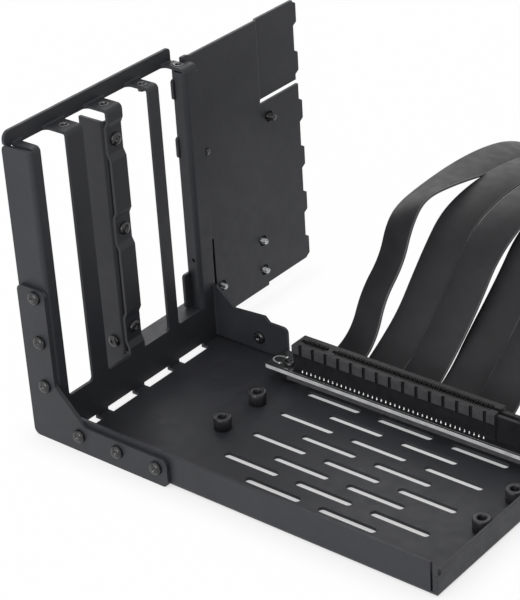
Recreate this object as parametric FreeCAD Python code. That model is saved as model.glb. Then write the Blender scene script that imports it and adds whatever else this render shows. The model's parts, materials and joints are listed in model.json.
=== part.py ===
import FreeCAD, Part
import math
import os

# Vertical graphics card mount: a folded tray and slot frame, a toothed chassis plate and a ribbon riser.
# Millimetres. The origin is the centre of the tray's underside, +X runs from the slot frame to the
# tray's free end, +Y to the back and +Z up.

# Folded sheets
sheet = 1.2
bend_inside = 0.6
overrun = 1.0  # how far a cutter runs past the face it cuts

# Tray
tray_length = 163.5
tray_depth = 89.7
front_lip = 13.0
end_lip = 10.4
rear_lip = 4.5
rear_tab_height = 13.0
rear_tab_width = 16.0
corner_relief = 1.1
vent_length = 24.0
vent_width = 3.0
vent_pitch_x = 32.0
vent_pitch_y = 8.1
vent_rows = 8
vent_first_row = 17.0
vent_shift = -0.6
tongue_slot_length = 14.6
tongue_slot_width = 2.6
tongue_slot_rise = 1.1
tongue_slot_before_hole = 11.5

# Slot frame
frame_height = 116.4
slot_pitch = 20.32
slot_count = 4
last_slot_from_rear = 6.44
bar_before_hole = (4.3, 4.0, 2.35, 2.96)
bar_after_hole = (3.8, 3.8, 3.0)
corner_post = 5.1
opening_bottom = 16.9
opening_radius = 1.5
shelf_depth = 10.0
shelf_hole_inset = 5.4
shelf_hole_radius = 1.5
notch_radius = 2.0
upstand = 5.1
upstand_nose = 1.7
upstand_past_last_hole = 1.2
shelf_past_last_hole = 1.9
front_flange = 13.7
flange_top_drop = 0.7
flange_corner = 2.4
slit = 0.7
pocket_depth = 1.2
pocket_flat = 10.0
pocket_ramp = 2.5
pocket_drops = (12.5, 48.1, 89.2)
bar_flange = 5.4
bar_flange_drop = 1.8
bar_flange_hole = (1.6, 79.2, 0.8)
last_tab_after_hole = 4.0
ear_length = 35.3
ear_low = 15.4
ear_middle = 16.6
ear_top = 24.0
ear_step = 24.6
ear_slope = 9.9
ear_corner = 2.2
ear_floor_gap = 0.8
ear_relief = (0.9, 14.0)
ear_screw = (21.8, 7.6)

# Front corner bracket
bracket_thickness = 1.7
bracket_reach = 51.2
bracket_edge_inset = 0.5
bracket_rise = 62.7
bracket_leg = 11.2
bracket_brace = 12.7
bracket_corner = 2.6
bracket_screw_pitch = 18.15
bracket_screw_low = 7.0
bracket_screw_first = 10.0
bracket_screw_inset = 4.6
bracket_screw_height = 23.0

# Divider and ledge behind the third bar
divider_depth = 14.2
divider_top_drop = 5.3
divider_bottom = 3.0
ledge_height = 16.4
ledge_depth = 9.65
ledge_ear = 8.0
ledge_ear_inset = 4.2
ledge_screw = (7.9, 20.8)

# Toothed chassis plate
plate_right = 132.1
plate_bottom_left = 3.8
plate_bottom_right = 5.0
plate_step = 105.0
plate_top = 1.0
plate_bump = (66.0, 1.7)
plate_bump_radius = 0.5
plate_shelf_clearance = 0.2
tooth_height = 10.0
tooth_depth = 2.0
tooth_chamfer = 1.2
tooth_radius = 0.6
tooth_drop = -0.5
hook_spans = ((5.2, 13.3, 0.7), (28.4, 36.9, 0.6), (85.3, 99.8, 3.3))
hook_radius = 1.2
flap_start = 106.1
flap_ramp = 1.5
flap_joggle = 1.0
flap_slit = (82.8, 84.3)
plate_screws_at = ((102.7, 25.0), (102.7, 11.8), (76.4, 16.9))
plate_stops = ((111.0, 76.2, 3.0), (73.0, 76.2, 0.9))
plate_screw_tip = 2.2

# Fasteners
screw_radius = 1.5
screw_clearance = 0.1
large_head = (2.6, 1.8)
small_head = (2.5, 1.4)
screw_grip = 4.0

# Standoffs and riser board
standoff_radius = 3.4
standoff_height = 5.0
standoff_bore = 1.6
standoff_rows = 3
board_from_end = 3.3
board_from_rear = 4.1
board_before_slot = 11.5
board_after_tail = 12.4
board_depth = 12.6
board_screw_left = 8.3
board_screw_right = 4.8
board_screw_front = 5.44
board_thickness = 1.6
board_radius = 1.0
insulator_clearance = 0.8
insulator_setback = 1.3
insulator_thickness = 2.2

# Card slot on the riser board
slot_length = 89.0
slot_setback = 2.5
slot_depth = 7.5
slot_height = 11.25
slot_band = 4.1
slot_band_step = 0.7
slot_shoulder = (0.8, 0.8)
slot_edge = 0.3
slot_groove = 1.4
slot_groove_pitch = 5.78
card_gap = 1.7
card_gap_depth = 8.0
card_gap_wall = 2.2
key_from_left = 14.6
key_width = 1.8
tail_length = 12.0
tail_height = 10.2
tail_wall = 1.5
latch_length = 4.0
latch_rise = 2.2
latch_gap = 0.2
latch_radius = 1.4
latch_notch = 0.8
latch_toe = 1.0
contact_pitch = 2.0
contact_margin = 4.4
contact_width = 0.6
contact_depth = 0.2
contact_drop = 0.4
solder_tail = (0.5, 0.8, 0.85)

# Ribbons and the plug at their far end
ribbon_count = 5
ribbon_pitch = 16.5
ribbon_width = 16.3
ribbon_thickness = 1.0
ribbon_from_slot = 11.85
plug_length = 96.0
plug_depth = 20.0
plug_height = 6.4
plug_radius = 1.2
finger_reach = 9.0
finger_span = 82.0
finger_key = 11.5
finger_pitch = 2.0
finger_width = 1.2
finger_length = 6.0
finger_setback = 1.0
finger_lift = 0.05

# Route of each ribbon's middle line: distance behind the riser board's rear edge, then height
first_route = (
    (0.0, 7.0), (7.6, 7.0), (16.4, 14.8), (24.4, 26.9), (32.4, 39.4), (40.4, 50.4), (50.4, 56.9),
    (67.4, 58.8), (88.4, 56.8), (108.4, 53.1), (128.4, 46.9), (147.4, 37.4), (162.4, 24.9), (173.4, 13.5),
    (184.4, 3.2), (192.4, 3.2),
)
other_route = (
    (0.0, 7.0), (6.2, 7.0), (14.4, 14.4), (23.4, 24.2), (33.4, 34.6), (43.4, 43.8), (54.4, 50.3),
    (67.4, 53.8), (84.4, 54.9), (104.4, 53.0), (125.4, 47.7), (144.4, 38.4), (160.4, 25.3), (172.9, 13.0),
    (184.4, 3.2), (192.4, 3.2),
)

# Datums that the pieces share
bend_outside = bend_inside + sheet
x_wall = -tray_length / 2
x_back = x_wall - sheet
x_end = tray_length / 2
y_front = -tray_depth / 2
y_rear = tray_depth / 2
z_floor = sheet
z_shelf = frame_height
y_last_slot = y_rear - last_slot_from_rear
slot_y = [y_last_slot - slot_pitch * (slot_count - 1 - k) for k in range(slot_count)]
bar_left = [y - before for y, before in zip(slot_y, bar_before_hole)]
bar_right = [y + after for y, after in zip(slot_y, bar_after_hole)] + [y_rear - sheet]
opening_left = [y_front + corner_post] + bar_right[:-1]
x_upstand = x_wall - shelf_depth
x_plate = x_wall - bar_flange
z_standoff = z_floor + standoff_height
z_board = z_standoff + board_thickness
hole_radius = screw_radius + screw_clearance
y_board_rear = y_rear - board_from_rear
y_board = y_board_rear - board_depth
y_slot = y_board + slot_setback
x_board_end = x_end - board_from_end
x_slot_end = x_board_end - board_after_tail - tail_length
x_slot = x_slot_end - slot_length
x_board = x_slot - board_before_slot
x_standoffs = (x_board + board_screw_left, x_board_end - board_screw_right)


def place(plane, u, v, w):
    """A point from two coordinates in a plane and one along its normal."""
    return {
        "xy": FreeCAD.Vector(u, v, w),
        "xz": FreeCAD.Vector(u, w, v),
        "yz": FreeCAD.Vector(w, u, v),
    }[plane]


def rounded_corner(before, here, after, radius):
    """The two tangent points and the middle point of an arc that rounds one corner."""
    to_before = (before - here).normalize()
    to_after = (after - here).normalize()
    half = to_before.getAngle(to_after) / 2
    inward = (to_before + to_after).normalize()
    reach = radius / math.tan(half)
    middle = here + inward * (radius / math.sin(half) - radius)
    return here + to_before * reach, middle, here + to_after * reach


def outline(plane, points, level):
    """A closed wire through the points (u, v) or (u, v, corner radius)."""
    corners = [place(plane, p[0], p[1], level) for p in points]
    radii = [p[2] if len(p) > 2 else 0 for p in points]
    count = len(points)
    edges = []
    starts = []
    ends = []
    for i in range(count):
        if radii[i] > 0:
            first, middle, last = rounded_corner(
                corners[i - 1], corners[i], corners[(i + 1) % count], radii[i]
            )
            edges.append(Part.Arc(first, middle, last).toShape())
        else:
            first = last = corners[i]
        starts.append(first)
        ends.append(last)
    for i in range(count):
        leave, arrive = ends[i], starts[(i + 1) % count]
        if leave.distanceToPoint(arrive) > 1e-6:
            edges.append(Part.LineSegment(leave, arrive).toShape())
    return Part.Wire(Part.__sortEdges__(edges))


def extrude(plane, points, low, high):
    """A prism with the given outline between two levels along the plane's normal."""
    face = Part.Face(outline(plane, points, low))
    return face.extrude(place(plane, 0, 0, high - low))


def block(x0, x1, y0, y1, z0, z1):
    return Part.makeBox(x1 - x0, y1 - y0, z1 - z0, FreeCAD.Vector(x0, y0, z0))


def rectangle(u0, u1, v0, v1, radius=0):
    return [(u0, v0, radius), (u1, v0, radius), (u1, v1, radius), (u0, v1, radius)]


def rod(axis, centre, radius, low, high):
    """A round bar along x, y or z. The centre gives its other two coordinates."""
    normal = {"x": "yz", "y": "xz", "z": "xy"}[axis]
    start = place(normal, centre[0], centre[1], low)
    return Part.makeCylinder(radius, high - low, start, place(normal, 0, 0, 1))


def pan_screw(axis, centre, seat, sign, head, length):
    """A pan head screw. The head (radius, height) stands off its seat in the sign's direction."""
    radius, height = head
    corners = [(0, -length), (screw_radius, -length), (screw_radius, 0), (radius, 0)]
    corners += [(radius, height), (0, height), (0, -length)]
    profile = Part.makePolygon([FreeCAD.Vector(r, 0, h) for r, h in corners])
    screw = Part.Face(profile).revolve(FreeCAD.Vector(0, 0, 0), FreeCAD.Vector(0, 0, 1), 360)
    normal = {"x": "yz", "y": "xz", "z": "xy"}[axis]
    turn = FreeCAD.Rotation(FreeCAD.Vector(0, 0, 1), place(normal, 0, 0, sign))
    screw.Placement = FreeCAD.Placement(place(normal, centre[0], centre[1], seat), turn)
    return screw


def without(shape, cutters):
    return shape.cut(cutters).removeSplitter()


def joined(shapes):
    return shapes[0].fuse(shapes[1:]).removeSplitter()


# Tray


def bracket_tray_holes():
    first = x_wall + bracket_screw_first
    return [(first + bracket_screw_pitch * k, bracket_screw_low) for k in range(3)]


def bracket_frame_holes():
    low = bracket_screw_height
    return [(x_wall - bracket_screw_inset, low + bracket_screw_pitch * k) for k in range(3)]


def standoff_places():
    last_row = y_board + board_screw_front
    rows = [last_row - slot_pitch * (standoff_rows - 1 - k) for k in range(standoff_rows)]
    return [(x, y) for y in rows for x in x_standoffs]


def vents():
    """Staggered rows of long round-ended slots."""
    cutters = []
    x_middle = sum(x_standoffs) / 2 + vent_shift
    for row in range(vent_rows):
        y = y_front + vent_first_row + vent_pitch_y * row
        count = 2 if row % 2 == 0 else 3
        for k in range(count):
            x = x_middle + vent_pitch_x * (k - (count - 1) / 2)
            half, radius = vent_length / 2, vent_width / 2
            shape = rectangle(x - half, x + half, y - radius, y + radius, radius)
            cutters.append(extrude("xy", shape, -overrun, z_floor + overrun))
    return cutters


def tongue_slots():
    """Slots for the tongues of the card brackets, through the floor's edge and the foot of the wall."""
    half = tongue_slot_length / 2
    x0, x1 = x_back - overrun, x_wall + tongue_slot_width
    top = z_floor + tongue_slot_rise
    middles = [y - tongue_slot_before_hole for y in slot_y]
    return [block(x0, x1, middle - half, middle + half, -overrun, top) for middle in middles]


def base_tray():
    """An upturned pan: floor, front lip, end lip and a low rear lip with a screw tab."""
    high = max(front_lip, end_lip, rear_tab_height)
    across = [(y_front, 0, bend_outside), (y_rear, 0, bend_outside), (y_rear, high), (y_front, high)]
    along = [(x_wall, 0), (x_end, 0, bend_outside), (x_end, high), (x_wall, high)]
    outer = extrude("yz", across, x_wall, x_end).common(extrude("xz", along, y_front, y_rear))
    x0, x1, y0, y1 = x_wall - overrun, x_end - sheet, y_front + sheet, y_rear - sheet
    before, behind, beyond, top = y_front - overrun, y_rear + overrun, x_end + overrun, high + overrun
    across = [(y0, z_floor, bend_inside), (y1, z_floor, bend_inside), (y1, top), (y0, top)]
    along = [(x0, z_floor), (x1, z_floor, bend_inside), (x1, top), (x0, top)]
    inner = extrude("yz", across, x0, x1).common(extrude("xz", along, y0, y1))
    tab_middle = x_wall + ear_screw[0]
    tab_left = tab_middle - rear_tab_width / 2
    tab_right = tab_middle + rear_tab_width / 2
    relief_x = x_end - bend_outside
    relief_y = y_front + bend_outside
    relief_rear = y_rear - bend_outside
    cutters = [
        inner,
        block(x0, beyond, before, y0, front_lip, top),
        block(x1, beyond, before, behind, end_lip, top),
        block(x0, tab_left, y1, behind, rear_lip, top),
        block(tab_right, beyond, y1, behind, rear_lip, top),
        block(tab_left, tab_right, y1, behind, rear_tab_height, top),
        block(relief_x - corner_relief, relief_x, before, y0, bend_outside, top),
        block(relief_x, beyond, before, relief_y, end_lip - bend_outside, top),
        block(x1, beyond, relief_rear - corner_relief, relief_rear, bend_outside, top),
        rod("y", (tab_middle, ear_screw[1]), hole_radius, y1 - overrun, behind),
    ]
    cutters += [rod("y", at, hole_radius, before, y0 + overrun) for at in bracket_tray_holes()]
    cutters += [rod("z", at, standoff_bore, -overrun, z_floor + overrun) for at in standoff_places()]
    return without(outer, cutters + vents() + tongue_slots())


# Slot frame


def wall_and_shelf():
    """The end wall folded over into the screw shelf, from the slit beside the corner post backwards."""
    profile = [
        (x_wall, 0),
        (x_wall, z_shelf, bend_outside),
        (x_upstand, z_shelf, bend_inside),
        (x_upstand, z_shelf + upstand / 2),
        (x_upstand - sheet, z_shelf + upstand / 2),
        (x_upstand - sheet, z_shelf - sheet, bend_outside),
        (x_back, z_shelf - sheet, bend_inside),
        (x_back, 0),
    ]
    body = extrude("xz", profile, y_front + sheet + slit, bar_right[-1])
    strip_end = slot_y[-1] + upstand_past_last_hole
    shelf_end = slot_y[-1] + shelf_past_last_hole
    low, high = z_shelf - bend_outside - sheet, z_shelf + upstand
    beyond = bar_right[-1] + overrun
    past_strip = block(x_upstand - sheet - overrun, x_upstand + bend_inside, strip_end, beyond, low, high)
    past_shelf = block(x_upstand, x_plate + plate_shelf_clearance / 2, shelf_end, beyond, low, high)
    strip = extrude(
        "yz",
        [
            (y_front - upstand_nose, z_shelf - sheet / 2, upstand * 0.4),
            (y_front - upstand_nose, z_shelf + upstand, upstand * 0.6),
            (strip_end, z_shelf + upstand, upstand * 0.3),
            (strip_end, z_shelf - sheet / 2),
        ],
        x_upstand - sheet,
        x_upstand,
    )
    past_tab = block(x_upstand, x_wall + overrun, slot_y[-1] + last_tab_after_hole, beyond, low, high)
    return joined([body.cut([past_strip, past_shelf, past_tab]), strip])


def front_post():
    """The corner post: the wall's front edge folded outwards into the front flange."""
    x_out = x_wall - front_flange
    inner = y_front + sheet
    profile = [
        (x_wall, y_front, bend_outside),
        (x_wall, y_front + corner_post),
        (x_back, y_front + corner_post),
        (x_back, inner, bend_inside),
        (x_out, inner),
        (x_out, y_front),
    ]
    top = z_shelf - flange_top_drop
    post = extrude("xy", profile, 0, top)
    nose = extrude(
        "xz",
        [(x_out, 0), (x_wall, 0), (x_wall, top), (x_out, top, flange_corner)],
        y_front - overrun,
        y_front + corner_post + overrun,
    )
    corner = block(
        x_back - overrun, x_wall + overrun, inner + slit, y_front + corner_post + overrun,
        z_shelf - bend_outside, z_shelf + overrun,
    )
    return post.common(nose).cut(corner)


def opening_cutters():
    """The four card openings, each running up through the wall and the shelf to the upstand."""
    cutters = []
    for left, right in zip(opening_left, bar_left):
        wall = rectangle(left, right, opening_bottom, z_shelf + 2 * opening_radius, opening_radius)
        notch = min(notch_radius, (right - left) / 2)
        shelf = rectangle(x_upstand, x_wall + 2 * notch, left, right, notch)
        cutters.append(extrude("yz", wall, x_back - overrun, x_wall + overrun))
        cutters.append(extrude("xy", shelf, z_shelf - sheet - bend_outside, z_shelf + overrun))
    return cutters


def pocketed_bar():
    """The third bar: it steps back at each of its screws so that the heads stay below the wall's face."""
    face = [(x_wall, opening_bottom - overrun)]
    for drop in reversed(pocket_drops):
        middle = z_shelf - drop
        half = pocket_flat / 2
        face += [
            (x_wall, middle - half - pocket_ramp, bend_inside),
            (x_wall - pocket_depth, middle - half, bend_inside),
            (x_wall - pocket_depth, middle + half, bend_inside),
            (x_wall, middle + half + pocket_ramp, bend_inside),
        ]
    face.append((x_wall, z_shelf - bend_outside))
    back = [(p[0] - sheet,) + tuple(p[1:]) for p in reversed(face)]
    bar = extrude("xz", face + back, bar_left[1], bar_right[1])
    behind, ahead = x_back - pocket_depth - overrun, x_wall + overrun
    holes = [rod("x", (slot_y[1], z_shelf - drop), hole_radius, behind, ahead) for drop in pocket_drops]
    return bar.cut(holes)


def bar_fold():
    """The last bar's left edge folded outwards; the chassis plate stands against the fold's edge."""
    y0 = bar_left[-1]
    x_flange = x_wall - bar_flange
    profile = [
        (x_wall, y0, bend_outside),
        (x_wall, y0 + bend_outside + sheet),
        (x_back, y0 + bend_outside + sheet),
        (x_back, y0 + sheet, bend_inside),
        (x_flange, y0 + sheet),
        (x_flange, y0),
    ]
    inset, drop, radius = bar_flange_hole
    fold = extrude("xy", profile, ledge_height - sheet, z_shelf - bar_flange_drop)
    return fold.cut(rod("y", (x_back - inset, z_shelf - drop), radius, y0 - overrun, y0 + sheet + overrun))


def rear_ear():
    """The wall's rear edge folded inwards into an ear that is screwed to the tray's rear tab."""
    y1 = bar_right[-1]
    x_tip = x_wall + ear_length
    profile = [
        (x_back, y1 - corner_post),
        (x_back, y1, bend_outside),
        (x_tip, y1),
        (x_tip, y1 - sheet),
        (x_wall, y1 - sheet, bend_inside),
        (x_wall, y1 - corner_post),
    ]
    low = z_floor + ear_floor_gap
    folded = extrude("xy", profile, low, ear_top)
    shape = [
        (x_back - overrun, low),
        (x_tip, low),
        (x_tip, ear_low, ear_corner),
        (x_wall + ear_step + ear_corner, ear_low),
        (x_wall + ear_step, ear_low + ear_corner),
        (x_wall + ear_slope, ear_middle),
        (x_wall + sheet, ear_top),
        (x_back - overrun, ear_top),
    ]
    hole_at = (x_wall + ear_screw[0], ear_screw[1])
    hole = rod("y", hole_at, hole_radius, y1 - sheet - overrun, y1 + overrun)
    return folded.common(extrude("xz", shape, y1 - 2 * corner_post, y1 + overrun)).cut(hole)


def slot_frame():
    """One folded sheet: end wall with card openings, screw shelf, corner post, last fold and rear ear."""
    y1 = bar_right[-1]
    third, last = bar_left[1], bar_left[-1]
    spans = [
        (third - overrun, bar_right[1] + overrun, opening_bottom, z_shelf - bend_outside),
        (last - overrun, last + bend_outside, opening_bottom, z_shelf - bar_flange_drop),
        (y1 - bend_outside, y1 + overrun, z_floor + ear_floor_gap, ear_top),
        (y1 - ear_relief[0], y1 + overrun, ear_top - overrun, ear_top + ear_relief[1]),
    ]
    folded_places = [block(x_back - overrun, x_wall + overrun, *span) for span in spans]
    x_hole = x_wall - shelf_hole_inset
    low, high = z_shelf - 2 * sheet, z_shelf + overrun
    holes = [rod("z", (x_hole, y), shelf_hole_radius, low, high) for y in slot_y]
    y0, y2 = y_front - overrun, y_front + sheet + overrun
    holes += [rod("y", at, hole_radius, y0, y2) for at in bracket_frame_holes()]
    wall = joined([wall_and_shelf(), front_post()])
    wall = wall.cut(opening_cutters() + folded_places + holes + tongue_slots())
    return joined([wall, pocketed_bar(), rear_ear(), bar_fold()])


# Brackets on the frame


def front_corner_bracket():
    """A flat L plate with a diagonal inner corner that ties the front flange to the tray's front lip."""
    r = bracket_corner
    x0, x1 = x_wall - front_flange + bracket_edge_inset, x_wall + bracket_reach
    shape = [
        (x0, 0, r),
        (x1, 0, r),
        (x1, bracket_leg, r),
        (x_wall + bracket_brace, bracket_leg, r),
        (x_wall, bracket_leg + bracket_brace, r),
        (x_wall, bracket_rise, r),
        (x0, bracket_rise, r),
    ]
    plate = extrude("xz", shape, y_front - bracket_thickness, y_front)
    y0 = y_front - bracket_thickness
    holes = bracket_tray_holes() + bracket_frame_holes()
    return plate.cut([rod("y", at, hole_radius, y0 - overrun, y_front + overrun) for at in holes])


def divider_bracket():
    """An angle behind the third bar: its lip takes the bar's screws, its side edges the second opening."""
    x_lip = x_wall - pocket_depth - sheet
    y0, y1 = bar_left[1], bar_right[1]
    profile = [
        (x_wall - divider_depth, y0),
        (x_lip, y0, bend_outside),
        (x_lip, y1),
        (x_lip - sheet, y1),
        (x_lip - sheet, y0 + sheet, bend_inside),
        (x_wall - divider_depth, y0 + sheet),
    ]
    angle = extrude("xy", profile, ledge_height, z_shelf - divider_top_drop)
    x_foot = x_wall - ledge_ear_inset
    foot_top = ledge_height + overrun
    foot = block(x_wall - divider_depth, x_foot, y0, y0 + sheet, divider_bottom, foot_top)
    behind, ahead = x_lip - sheet - overrun, x_lip + overrun
    holes = [rod("x", (slot_y[1], z_shelf - drop), hole_radius, behind, ahead) for drop in pocket_drops]
    hole_at = (x_wall - ledge_screw[0], ledge_screw[1])
    holes.append(rod("y", hole_at, hole_radius, y0 - overrun, y0 + sheet + overrun))
    return without(joined([angle, foot]), holes)


def slot_ledge():
    """A ledge behind the foot of the third and fourth openings, with an ear screwed to the divider."""
    y0, y1 = bar_left[1] + sheet, bar_left[-1]
    low = ledge_height - sheet
    profile = [
        (y0, low, bend_outside),
        (y1, low),
        (y1, ledge_height),
        (y0 + sheet, ledge_height, bend_inside),
        (y0 + sheet, ledge_height + ledge_ear),
        (y0, ledge_height + ledge_ear),
    ]
    folded = extrude("yz", profile, x_wall - ledge_depth, x_wall - ledge_ear_inset)
    flat = block(x_wall - ledge_ear_inset - overrun, x_back, y0 + bend_outside, y1, low, ledge_height)
    hole_at = (x_wall - ledge_screw[0], ledge_screw[1])
    hole = rod("y", hole_at, hole_radius, y0 - overrun, y0 + sheet + overrun)
    return without(joined([folded, flat]), [hole])


def plate_places(places):
    return [(slot_y[0] + y, z) for y, z in places]


def chassis_plate():
    """The plate behind the last bar, with hooks, a joggled upper flap and a tooth at each slot pitch."""
    top = z_shelf + plate_top
    under_shelf = z_shelf - sheet - plate_shelf_clearance
    y_left = bar_left[-1] + sheet / 2
    y_bump = slot_y[-1] + shelf_past_last_hole + plate_shelf_clearance
    y_tip = slot_y[0] + plate_right
    y_root = y_tip - tooth_depth
    y_step = slot_y[0] + plate_step
    bump_end = slot_y[0] + plate_bump[0]
    shape = [(y_left, plate_bottom_left)]
    for high, low, reach in reversed(hook_spans):
        y_hook = bar_left[-1] - reach
        shape += [
            (y_left, z_shelf - low),
            (y_hook, z_shelf - low, hook_radius),
            (y_hook, z_shelf - high, hook_radius),
            (y_left, z_shelf - high),
        ]
    shape += [
        (y_left, under_shelf),
        (y_bump, under_shelf),
        (y_bump, z_shelf + plate_bump[1], plate_bump_radius),
        (bump_end, z_shelf + plate_bump[1]),
        (bump_end + plate_bump[1], top),
        (y_root, top),
    ]
    crest_room = z_shelf - tooth_drop - tooth_height - plate_bottom_right
    for k in range(int(crest_room // slot_pitch) + 1):
        crest = z_shelf - tooth_drop - slot_pitch * k
        shape += [
            (y_root, crest),
            (y_tip, crest - tooth_chamfer, tooth_radius),
            (y_tip, crest - tooth_height + tooth_chamfer, tooth_radius),
            (y_root, crest - tooth_height),
        ]
    shape += [(y_root, plate_bottom_right), (y_step, plate_bottom_right), (y_step, plate_bottom_left)]
    flat = extrude("yz", shape, x_plate - sheet, x_plate)
    y_flap = slot_y[0] + flap_start
    slit_low, slit_high = flap_slit
    beyond, above = y_tip + overrun, z_shelf + plate_bump[1] + overrun
    x_flap = x_plate - flap_joggle
    flap = extrude("yz", shape, x_flap - sheet, x_flap).common(
        block(x_flap - sheet - overrun, x_flap + overrun, y_flap + flap_ramp, beyond, slit_high, above)
    )
    ramp = extrude(
        "xy",
        [
            (x_plate, y_flap), (x_flap, y_flap + flap_ramp),
            (x_flap - sheet, y_flap + flap_ramp), (x_plate - sheet, y_flap),
        ],
        slit_high,
        top,
    )
    rear, ahead = x_plate - sheet - overrun, x_plate + overrun
    screws = plate_places(plate_screws_at) + plate_places([(y, z) for y, z, tip in plate_stops])
    cutters = [block(rear, ahead, y_flap, beyond, slit_low, above)]
    cutters += [rod("x", at, hole_radius, rear, ahead) for at in screws]
    return joined([flat.cut(cutters), ramp, flap])


# Fasteners


def corner_bracket_screws():
    seat = y_front - bracket_thickness
    places = bracket_frame_holes() + bracket_tray_holes()
    return [pan_screw("y", at, seat, -1, large_head, screw_grip) for at in places]


def rear_ear_screw():
    at = (x_wall + ear_screw[0], ear_screw[1])
    return [pan_screw("y", at, bar_right[-1] - sheet, -1, small_head, screw_grip)]


def divider_screws():
    seat = x_wall - pocket_depth
    places = [(slot_y[1], z_shelf - drop) for drop in pocket_drops]
    return [pan_screw("x", at, seat, 1, small_head, screw_grip) for at in places]


def ledge_screw_body():
    at = (x_wall - ledge_screw[0], ledge_screw[1])
    return [pan_screw("y", at, bar_left[1], -1, small_head, screw_grip)]


def plate_screws():
    length = sheet + plate_screw_tip
    seat = x_plate - sheet
    return [pan_screw("x", at, seat, -1, small_head, length) for at in plate_places(plate_screws_at)]


def plate_stop_screws():
    seat = x_plate - sheet
    return [
        pan_screw("x", (slot_y[0] + y, z), seat, -1, small_head, sheet + tip) for y, z, tip in plate_stops
    ]


# Riser


def tray_standoffs():
    """Threaded standoffs pressed into the tray: two rows to spare and one row under the riser board."""
    solids = []
    for at in standoff_places():
        body = rod("z", at, standoff_radius, z_floor, z_standoff)
        bore = rod("z", at, standoff_bore, z_floor - overrun, z_standoff + overrun)
        solids.append(body.cut(bore))
    return solids


def riser_board():
    shape = rectangle(x_board, x_board_end, y_board, y_board_rear, board_radius)
    board = extrude("xy", shape, z_standoff, z_board)
    low, high = z_standoff - overrun, z_board + overrun
    return board.cut([rod("z", at, hole_radius, low, high) for at in standoff_places()[-2:]])


def riser_insulator():
    """The pad between the board's solder side and the tray, between the two standoffs."""
    inset = standoff_radius + insulator_clearance
    x0, x1 = x_standoffs[0] + inset, x_standoffs[1] - inset
    y0, y1 = y_board + insulator_setback, y_board_rear - insulator_setback
    shape = rectangle(x0, x1, y0, y1, board_radius)
    return extrude("xy", shape, z_standoff - insulator_thickness, z_standoff)


def riser_screws():
    places = standoff_places()[-2:]
    return [pan_screw("z", at, z_board, 1, small_head, screw_grip) for at in places]


def slot_housing():
    """The long card slot: a grooved upper band over a set-back base, and a tail for the card's latch."""
    x0, x1 = x_slot, x_slot_end
    y0, y1 = y_slot, y_slot + slot_depth
    top = z_board + slot_height
    band = top - slot_band
    section = [
        (y0 + slot_band_step, z_board),
        (y1, z_board),
        (y1, top),
        (y0, top, slot_edge),
        (y0, band),
        (y0 + slot_band_step, band - slot_band_step),
    ]
    body = extrude("yz", section, x0, x1)
    middle = (y0 + y1) / 2
    tail_half = card_gap / 2 + tail_wall
    x2 = x1 + tail_length
    tail_top = z_board + tail_height
    tail = block(x1 - overrun, x2, middle - tail_half, middle + tail_half, z_board, tail_top)
    housing = joined([body, tail])
    count = int(slot_length // slot_groove_pitch)
    lead = (slot_length - slot_groove_pitch * (count - 1)) / 2
    above = top + overrun
    cutters = [
        block(x, x + slot_groove, y0 - overrun, y0 + slot_band_step, band - overrun, above)
        for x in [x0 + lead - slot_groove / 2 + slot_groove_pitch * k for k in range(count)]
    ]
    half = card_gap / 2
    key = x0 + key_from_left
    gap_low = top - card_gap_depth
    cutters += [
        block(x0 + card_gap_wall, key, middle - half, middle + half, gap_low, above),
        block(key + key_width, x2 + overrun, middle - half, middle + half, gap_low, above),
    ]
    drop, run = slot_shoulder
    shoulder = [(x0 - overrun, top - drop), (x0, top - drop), (x0 + run, top), (x0 + run, above)]
    shoulder.append((x0 - overrun, above))
    cutters.append(extrude("xz", shoulder, y0 - overrun, y1 + overrun))
    return without(housing, cutters)


def slot_latch():
    """The hook at the tail's end that holds the card down, standing in the tail's gap."""
    middle = y_slot + slot_depth / 2
    half = card_gap / 2 - latch_gap
    x1 = x_slot_end + tail_length
    x0, neck = x1 - latch_length, x1 - latch_length / 2
    low = z_board + slot_height - card_gap_depth
    top = z_board + tail_height + latch_rise
    shape = [
        (x0, low),
        (x1, low),
        (x1, top, latch_radius),
        (x0, top, latch_radius),
        (x0, top - latch_rise),
        (neck, top - latch_rise - latch_notch),
        (neck, low + 2 * latch_toe),
        (x0, low + latch_toe),
    ]
    return extrude("xz", shape, middle - half, middle + half)


def contact_columns():
    gaps = int((slot_length - 2 * contact_margin) // contact_pitch)
    first = x_slot + (slot_length - contact_pitch * gaps) / 2
    return [first + contact_pitch * k for k in range(gaps + 1)]


def solder_tails():
    """One row of upright solder tails at the foot of the slot's front face."""
    wide, deep, tall = solder_tail
    face, top = y_slot + slot_band_step, z_board + tall
    side = [(face - deep, z_board), (face, z_board), (face, top), (face - deep / 2, top)]
    return [extrude("yz", side, x - wide / 2, x + wide / 2) for x in contact_columns()]


def slot_contacts():
    """Two rows of contact springs that stand against the walls of the card gap."""
    key = x_slot + key_from_left
    middle = y_slot + slot_depth / 2
    low = z_board + slot_height - card_gap_depth
    high = z_board + slot_height - contact_drop
    half = card_gap / 2
    solids = []
    for x in contact_columns():
        if key - contact_pitch / 2 < x < key + key_width + contact_pitch / 2:
            continue
        left, right = x - contact_width / 2, x + contact_width / 2
        solids.append(block(left, right, middle - half, middle - half + contact_depth, low, high))
        solids.append(block(left, right, middle + half - contact_depth, middle + half, low, high))
    return solids


# Ribbons


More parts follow.
